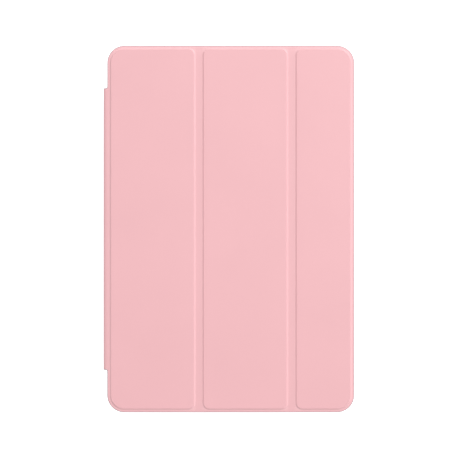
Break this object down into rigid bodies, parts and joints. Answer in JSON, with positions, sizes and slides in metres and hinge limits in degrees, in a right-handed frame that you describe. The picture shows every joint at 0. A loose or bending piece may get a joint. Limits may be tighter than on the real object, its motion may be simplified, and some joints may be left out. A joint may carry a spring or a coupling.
{
  "type": "tablet case",
  "caption": "Thin three-panel folding cover for a small tablet, with a magnetic spine that docks on the tablet's side and folds that let it roll into a stand.",
  "frame": {"origin": "centre of the spine's docking face, which is the middle of the tablet's left side", "axes": "+X from the spine over the tablet to the flap's free edge, +Y along the spine to the tablet's top, +Z out of the tablet's front; the cover is closed at rest"},
  "size_m": [0.1368, 0.2, 0.0087],
  "materials": {
    "skin": "satin",
    "lining": "matte",
    "board": "matte",
    "adhesive": "satin",
    "core": "matte",
    "magnet": "polished",
    "steel": "satin"
  },
  "bodies": {
    "spine": {"spine_core": "core", "spine_magnets": "magnet", "spine_shunt": "steel", "spine_sleeve": "skin", "docking_pad": "lining"},
    "hinge_strap": {"strap_skin": "skin", "strap_lining": "lining"},
    "hinge_panel": {"hinge_panel_skin": "skin", "hinge_panel_board": "board", "hinge_panel_adhesive": "adhesive", "hinge_panel_lining": "lining", "keeper_plate": "steel"},
    "first_fold": {"first_fold_skin": "skin", "first_fold_lining": "lining"},
    "middle_panel": {"middle_panel_skin": "skin", "middle_panel_board": "board", "middle_panel_adhesive": "adhesive", "middle_panel_lining": "lining"},
    "second_fold": {"second_fold_skin": "skin", "second_fold_lining": "lining"},
    "edge_panel": {"edge_panel_skin": "skin", "edge_panel_board": "board", "edge_panel_adhesive": "adhesive", "edge_panel_lining": "lining", "closing_magnets": "magnet", "wake_magnet": "magnet"}
  },
  "joints": [
    {"name": "cover_flip", "type": "hinge", "parent": "spine", "child": "hinge_strap", "pos_m": [-0.00178, 0, -0.00045], "axis": [0, -1, 0], "range_deg": [0, 179.9]},
    {"name": "cover_flip_upper", "type": "hinge", "parent": "hinge_strap", "child": "hinge_panel", "pos_m": [-0.00178, 0, 0.00405], "axis": [0, -1, 0], "range_deg": [0, 179.9]},
    {"name": "fold_1", "type": "hinge", "parent": "hinge_panel", "child": "first_fold", "pos_m": [0.0486, 0, 0.00405], "axis": [0, 1, 0], "range_deg": [-82.5, 69.5]},
    {"name": "fold_1_far", "type": "hinge", "parent": "first_fold", "child": "middle_panel", "pos_m": [0.05135, 0, 0.00405], "axis": [0, 1, 0], "range_deg": [-82.5, 69.5]},
    {"name": "fold_2", "type": "hinge", "parent": "middle_panel", "child": "second_fold", "pos_m": [0.09913, 0, 0.00405], "axis": [0, 1, 0], "range_deg": [-89, 60]},
    {"name": "fold_2_far", "type": "hinge", "parent": "second_fold", "child": "edge_panel", "pos_m": [0.10202, 0, 0.00405], "axis": [0, 1, 0], "range_deg": [-89, 60]}
  ],
  "couplings": [
    {"joint": "cover_flip_upper", "follows": "cover_flip", "ratio": 1},
    {"joint": "fold_1_far", "follows": "fold_1", "ratio": 1},
    {"joint": "fold_2_far", "follows": "fold_2", "ratio": 1}
  ]
}
